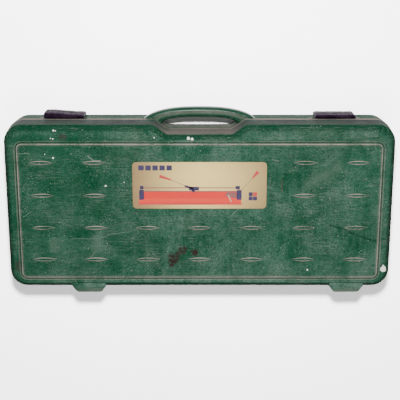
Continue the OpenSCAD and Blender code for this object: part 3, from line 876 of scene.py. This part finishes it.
def tray_shape(z_rim, z_floor, direction):
    """Tray inside one half: a flat rim, drafted walls and a rounded floor; its mouth faces direction."""
    shape = Shape()
    flip = direction < 0
    r = TRAY["floor_r"]
    rim_cut = LATCH_RECESS["depth"] if direction > 0 else LID_LATCH_CUT
    rim_outer = outline(SKIN + RIM_GAP, latch_depth=rim_cut)

    def side(offset):
        """Growth and Z of each loop down the tray's wall, offset behind the visible face."""
        depth = abs(z_rim - z_floor) - r
        levels = [(-0.4 + offset, z_rim - direction * (1.6 + offset))]
        levels += [(-0.4 + offset - 1.5 * t, z_rim - direction * depth * t) for t in (0.3, 0.65, 1.0)]
        for a in (math.radians(15 * i) for i in range(1, 7)):
            rise = r * (1 - math.sin(a)) - offset
            levels.append((-1.9 + offset - r * (1 - math.cos(a)), z_floor + direction * rise))
        return levels

    outer = shape.loop(lift(rim_outer, z_rim), wear=0.3)
    previous = outer
    for index, (grow, z) in enumerate([(1.8, z_rim), (1.2, z_rim - direction * 0.15)] + side(0.0)):
        # the floor's rounded edge is darkened
        wear, dirt = 0.35 if index < 2 else 0.0, 0.3 if index > 8 else 0.0
        loop = shape.loop(lift(tray_loop(grow), z), wear=wear, dirt=dirt)
        shape.bridge(previous, loop, flip=flip)
        previous = loop
    shape.cap(previous, flip)

    under = shape.loop(lift(rim_outer, z_rim - direction * SKIN))
    shape.bridge(under, outer, flip=flip)
    previous = under
    for grow, z in side(SKIN):
        loop = shape.loop(lift(tray_loop(grow), z))
        shape.bridge(loop, previous, flip=flip)
        previous = loop
    shape.cap(previous, not flip)

    for x in PADS["x"]:
        for low, high in PADS["spans"]:
            tray_pad(shape, x, low, high, z_floor, direction)
    return shape


def tray_pad(shape, x, low, high, z_floor, direction):
    """Raised pad that carries the tool, with a wide foot fillet and a rounded top."""
    top = PADS["height"]
    levels = [(3.0, -0.4), (2.0, 0.25), (0.9, 1.2), (0.1, 3.0),
              (-1.0, top - 4), (-1.8, top - 1.4), (-3.4, top - 0.25), (-6.0, top)]
    loops = []
    for grow, rise in levels:
        half = PADS["half"] - 2 + grow
        points = rounded_path([(x - half, low + 2 - grow, 9), (x + half, low + 2 - grow, 9),
                               (x + half, high - 2 + grow, 9), (x - half, high - 2 + grow, 9)], steps=6)
        wear = 0.7 if top - 3 < rise < top else 0.0
        loops.append(shape.loop(lift(points, z_floor + direction * rise), wear=wear))
    shape.stack(loops, flip=direction < 0)


for name, node, body, z_rim, z_floor, direction in (
        ("base_tray", "base_inner_skin", "base", PART_Z - PART_GAP / 2, TRAY["gap"] + SKIN, 1),
        ("lid_tray", "lid_inner_skin", "lid", PART_Z + PART_GAP / 2, BORDER_Z - TRAY["gap"] - SKIN, -1)):
    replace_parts(mesh(name, tray_shape(z_rim, z_floor, direction), body, GREEN), node)


# ---------------------------------------------------------------- pins
def pin(name, node):
    """Steel pin with chamfered ends, in its CAD node's place."""
    low, high = cad_box(node)
    radius = (high[2] - low[2]) / 2
    cy, cz = (low[1] + high[1]) / 2, (low[2] + high[2]) / 2
    chamfer = radius * 0.25
    turn = [math.pi * i / 16 for i in range(32)]
    stops = ((low[0], radius - chamfer), (low[0] + chamfer, radius),
             (high[0] - chamfer, radius), (high[0], radius - chamfer))
    shape = Shape()
    shape.stack([shape.loop([(x, cy + r * math.cos(a), cz + r * math.sin(a)) for a in turn])
                 for x, r in stops])
    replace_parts(mesh(name, shape, "base", STEEL), node)


for side in ("left", "right"):
    pin(f"hinge_rod_{side}", f"hinge_pin_{side}")
    pin(f"latch_rod_{side}", f"latch_pin_{side}")


# ---------------------------------------------------------------- latches
def latch_section(x_local, lift_top):
    """Closed (y, z) outline of a lever at one place along its width: outside, then the hollow under it."""
    end = LATCH_HALF - abs(x_local)
    top = LATCH_HIGH[1]
    under = HALF_Y + 0.9
    front, rear = LATCH_HIGH[2], LATCH_PIVOT_Z
    barrel = top - LATCH_PIVOT_Y
    round_off = 2.6 * (1 - min(end / 5.0, 1.0)) ** 1.6
    in_slot = abs(abs(x_local) - EAR_X) < 2.5
    outer = [(under, front), (under + 3.2, front), (top - 2.2, front - 0.2), (top - 0.9, front - 1.0),
             (top - 0.3, front - 2.4), (top, front - 5)]
    # one groove near the finger edge and one near the pivot
    outer += [(top, front - 8), (top - 0.9, front - 9), (top - 0.9, front - 12), (top, front - 13)]
    outer += [(top, rear + 12), (top - 0.6, rear + 11), (top - 0.6, rear + 8), (top, rear + 7)]
    for i in range(9):
        a = math.pi * i / 8
        outer.append((LATCH_PIVOT_Y + barrel * math.cos(a), rear - barrel * math.sin(a)))
    outer.append((under + 0.4, rear + 4))
    hollow_y = top - 2.6 if end > 2.6 else under + 0.25
    inner = [(under + 0.1, rear + 6.1), (hollow_y, rear + 6.7),
             (hollow_y, front - 3.2), (under + 0.1, front - 2.6)]
    section = []
    for y, z in outer + inner:
        if in_slot:
            z = max(z, rear + 5.0)
        raised = max((y - under) / (top - under), 0.0)
        away_from_pivot = min(max((z - 22) / 10, 0.35), 1.0)
        section.append((y - round_off * raised + lift_top * raised ** 1.5 * away_from_pivot, z))
    return section


def latch_lever(middle, bent):
    """Snap lever; bent gives how far its outer end's top stands up from years of use."""
    shape = Shape()
    stations = [step - LATCH_HALF for step in (0, 0.35, 1.1, 2.3, 2.8, 5)]
    stations += [-38, -32, -26.6, -26.4, -24, -21.6, -21.4, -16, -10, -5, 0]
    stations += [-x for x in reversed(stations[:-1])]
    outward = math.copysign(1.0, middle)
    loops = []
    for x_local in stations:
        lift_top = bent * smoothstep((x_local * outward + LATCH_HALF) / (2 * LATCH_HALF) * 1.15)
        loop = []
        for i, (y, z) in enumerate(latch_section(x_local, lift_top)):
            edge = 1.0 if i in (3, 4) or abs(x_local) > LATCH_HALF - 0.6 else 0.0
            # the top faces take dust that is partly painted light
            face = 1.0 if 4 < i < 16 else 0.0
            loop.append(shape.add((middle + x_local, y, z), wear=edge, scuff=face))
        loops.append(loop)
    shape.stack(loops, flip=True)
    return shape


for side, middle, bent in (("left", LATCHES_X[0], 5.5), ("right", LATCHES_X[1], 0.0)):
    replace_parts(mesh(f"snap_lever_{side}", latch_lever(middle, bent), f"latch_{side}", PLUM),
                f"latch_lever_{side}")


# ---------------------------------------------------------------- label
# the fourth number of the two foils sets how strongly painted shade darkens them towards the label's ends
FOIL = label_foil("foil", ink(232, 204, 128), ink(222, 192, 118), 0.85, 0.5)
FOIL_SHADE = label_foil("foil_shade", ink(188, 174, 140), ink(172, 158, 128), 0.3)
INK_RED = label_foil("ink_red", ink(206, 36, 22), ink(210, 46, 30))
INK_SOFT_RED = label_foil("ink_soft_red", ink(216, 62, 42), ink(212, 52, 34))
INK_DEEP_RED = label_foil("ink_deep_red", ink(176, 46, 50), ink(196, 60, 58))
INK_BLUE = label_foil("ink_blue", ink(42, 34, 66), ink(60, 50, 86))
INK_BROWN = label_foil("ink_brown", ink(120, 70, 70), ink(140, 90, 84))


def plate(name, outline_points, z0, z1, material, edge=0.15):
    """Thin flat piece with softened edges, from a closed outline."""
    shape = Shape()
    cx = sum(p[0] for p in outline_points) / len(outline_points)
    cy = sum(p[1] for p in outline_points) / len(outline_points)
    turned = outline_points[1:] + outline_points[:1]
    area = sum(a[0] * b[1] - b[0] * a[1] for a, b in zip(outline_points, turned))
    points = outline_points if area > 0 else outline_points[::-1]
    loops = []
    for z, pull in ((z0, 0.0), (z1 - edge, 0.0), (z1, edge)):
        loop = []
        for x, y in points:
            reach = math.hypot(x - cx, y - cy) or 1.0
            loop.append(shape.add((x - (x - cx) / reach * pull, y - (y - cy) / reach * pull, z)))
        loops.append(loop)
    shape.stack(loops)
    return mesh(name, shape, "lid", material, smooth=False)


def rectangle(x0, y0, x1, y1, r=0.0, steps=6):
    cut = r * 1.25
    return rounded_path([(x0, y0, cut), (x1, y0, cut), (x1, y1, cut), (x0, y1, cut)], steps)


def circle(x, y, radius):
    return [[x + radius * math.cos(a), y + radius * math.sin(a)] for a in (math.pi * i / 8 for i in range(16))]


def rod(x0, y0, x1, y1, width0, width1=None):
    """Straight bar between two points, tapered if its widths differ."""
    along = Vector((x1 - x0, y1 - y0)).normalized()
    side = Vector((-along.y, along.x))
    a, b = side * width0 / 2, side * (width1 or width0) / 2
    return [[x0 - a.x, y0 - a.y], [x1 - b.x, y1 - b.y], [x1 + b.x, y1 + b.y], [x0 + a.x, y0 + a.y]]


def label():
    """Gold-beige plate with a generic picture of a manual tile cutter. It carries no words and no mark."""
    low, high = LABEL_LOW, LABEL_HIGH
    border = rectangle(low[0], low[1], high[0], high[1], 8.0)
    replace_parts(plate("label_plate_body", border, low[2], high[2], FOIL, 0.25), "label_plate")
    z = high[2] - 0.02
    # name, outline, material, level above the plate
    layers = (
        ("picture_base", rectangle(-135, 10.5, 93, 38.0), INK_RED, 1),
        ("picture_base_shade", rectangle(-135, 13.0, 93, 22.0), INK_SOFT_RED, 2),
        ("picture_base_edge", rectangle(-137, 7.5, 94.5, 10.8), INK_DEEP_RED, 2),
        ("picture_bed", rectangle(-126, 37.6, 84, 39.6), INK_BROWN, 2),
        ("picture_rail", rectangle(-127, 45.6, 85, 47.6), INK_BROWN, 2),
        ("picture_post_left", rounded_path([(-135, 19, 2), (-124, 19, 2), (-124, 42, 3), (-135, 42, 3)], 3),
         INK_BLUE, 3),
        ("picture_cap_left", rectangle(-133, 43, -125, 51, 1.6, 3), INK_BLUE, 3),
        ("picture_post_right", rounded_path([(83, 19, 2), (94, 19, 2), (94, 42, 3), (83, 42, 3)], 3),
         INK_BLUE, 3),
        ("picture_cap_right", rectangle(80, 43, 90, 51, 1.6, 3), INK_BLUE, 3),
        ("picture_carriage", rectangle(-24, 40.5, -1, 49, 1.6, 3), INK_BLUE, 4),
        ("picture_carriage_arm", rod(-33, 51, -14, 45.5, 4.5), INK_BLUE, 4),
        ("picture_wheel", circle(-14, 39.5, 3.4), INK_BLUE, 4),
        ("picture_lever", rod(-66, 65.3, -30, 50.6, 1.1), INK_BROWN, 3),
        ("picture_grip", rod(-89, 73.6, -64, 65.0, 7.2, 3.0), INK_DEEP_RED, 4),
        ("picture_lever_up", rod(93, 40.5, 119, 70.0, 0.9), INK_BROWN, 3),
        ("picture_grip_up", rod(118, 69.5, 130, 83.6, 3.2, 7.6), INK_DEEP_RED, 4),
        ("picture_breaker", rounded_path([(57, 27, 3), (84, 22, 2), (84, 36, 2), (60, 37, 3)], 3),
         INK_BROWN, 3),
        ("picture_breaker_foot", rod(64, 30, 71, 14, 2.6), FOIL_SHADE, 4),
    )
    for name, points, material, level in layers:
        plate(name, points, z, z + 0.03 + 0.012 * level, material, 0.005)
    # a row of plain tiles stands where the words were, and four tiles where the mark was
    for i in range(5):
        x = -136 + i * 15.6
        plate(f"tile_row_{i}", rectangle(x, 86.5, x + 12.4, 98.0, 1.2, 3), z, z + 0.06, INK_BLUE, 0.005)
    for i, (x, y) in enumerate(((109.6, 17.6), (119.4, 17.6), (119.4, 27.4), (109.6, 27.4))):
        shade = INK_DEEP_RED if i == 2 else INK_BLUE
        plate(f"tile_four_{i}", rectangle(x, y, x + 9.0, y + 9.0, 0.8, 3), z, z + 0.06, shade, 0.005)


label()


# ---------------------------------------------------------------- paint spots
def white_paint():
    n = Nodes("dried_paint")
    grime_and_shade = n.noise(260.0, 5.0, 0.7)
    color = n.mix(n.ramp(grime_and_shade, 0.45, 0.75), ink(226, 226, 216), ink(176, 178, 164))
    return n.finish(color, 0.62, n.bump(grime_and_shade, 0.3, 0.3))


# dried paint drops on the lid: x, y, radius
DROPS = ((420, -146, 6.6), (419, -137, 1.6), (413.5, -149, 1.2), (-24.5, 158.6, 3.4), (-16.5, 156.6, 3.0),
         (-324, 114.7, 2.0), (-209, 50.7, 2.2), (-168, 59, 1.1), (246, -147, 1.9), (-100, 160, 1.3),
         (-342, 123, 1.0), (-321, 176, 2.0), (-316.5, 175.5, 1.3), (-328, 158.5, 1.2), (-323, 157.5, 1.5))


def drops():
    shape = Shape()
    directions = [(math.cos(a), math.sin(a)) for a in (math.pi * i / 10 for i in range(20))]
    for index, (x, y, radius) in enumerate(DROPS):
        on_panel = abs(x) < PANEL_X - 4 and PANEL_BOTTOM + 4 < y < PANEL_TOP - 4
        z = PANEL_Z if on_panel else BORDER_Z
        # an uneven outline, different for each drop
        reach = []
        for c, s in directions:
            r = radius * (1 + 0.28 * noise.noise(Vector((c * 1.3 + index * 7, s * 1.3, index))))
            reach.append((c * r, s * r))
        steps = ((1.06, -0.5), (1.0, 0.12), (0.8, 0.34), (0.4, 0.48))
        shape.stack([shape.loop([(x + scale * dx, y + scale * dy, z + rise) for dx, dy in reach])
                     for scale, rise in steps])
    return shape


mesh("paint_drops", drops(), "lid", white_paint())


# ---------------------------------------------------------------- stage, light and camera
def studio():
    """Pale floor, soft even light from the sky and three lamps."""
    floor = bpy.data.meshes.new("floor")
    half_m = 6.0
    corners = [(-half_m, -half_m, 0), (half_m, -half_m, 0), (half_m, half_m, 0), (-half_m, half_m, 0)]
    floor.from_pydata(corners, [], [(0, 1, 2, 3)])
    floor_object = bpy.data.objects.new("floor", floor)
    bpy.context.scene.collection.objects.link(floor_object)
    floor_object.location.z = -0.0004
    n = Nodes("pale_floor")
    tone = n.mix(n.noise(3.0, 3.0, 0.5), (0.90, 0.90, 0.90, 1), (0.93, 0.93, 0.93, 1))
    floor.materials.append(n.finish(tone, 0.9))

    world = bpy.data.worlds.new("soft_studio")
    bpy.context.scene.world = world
    world.use_nodes = True
    world.node_tree.nodes["Background"].inputs["Color"].default_value = (1, 1, 1, 1)
    world.node_tree.nodes["Background"].inputs["Strength"].default_value = 0.2

    def area(name, place, target, size_m, power):
        light = bpy.data.lights.new(name, "AREA")
        light.shape = "DISK"
        light.size = size_m
        light.energy = power
        lamp = bpy.data.objects.new(name, light)
        bpy.context.scene.collection.objects.link(lamp)
        lamp.location = place
        lamp.rotation_euler = (Vector(target) - Vector(place)).to_track_quat("-Z", "Y").to_euler()

    area("key_flash", (0.0, 1.01, 2.1), (0, 0, 0.06), 0.2, 330)
    area("soft_fill", (0.0, -2.0, 3.0), (0, 0, 0.06), 2.0, 85)
    area("label_glow", (0.06, -0.46, 2.2), (0, 0, 0.1), 0.5, 16)


def photo_camera():
    """Nearly overhead, leaning a little from the handle's side."""
    data = bpy.data.cameras.new("photo_camera")
    data.lens = 85.5
    data.sensor_width = 36.0
    data.clip_end = 50.0
    camera = bpy.data.objects.new("photo_camera", data)
    bpy.context.scene.collection.objects.link(camera)
    camera.location = (0.00095, 0.5874, 2.1828)
    camera.rotation_euler = (math.radians(-15.53), 0, 0)
    bpy.context.scene.camera = camera


studio()
photo_camera()

bpy.context.view_layer.update()
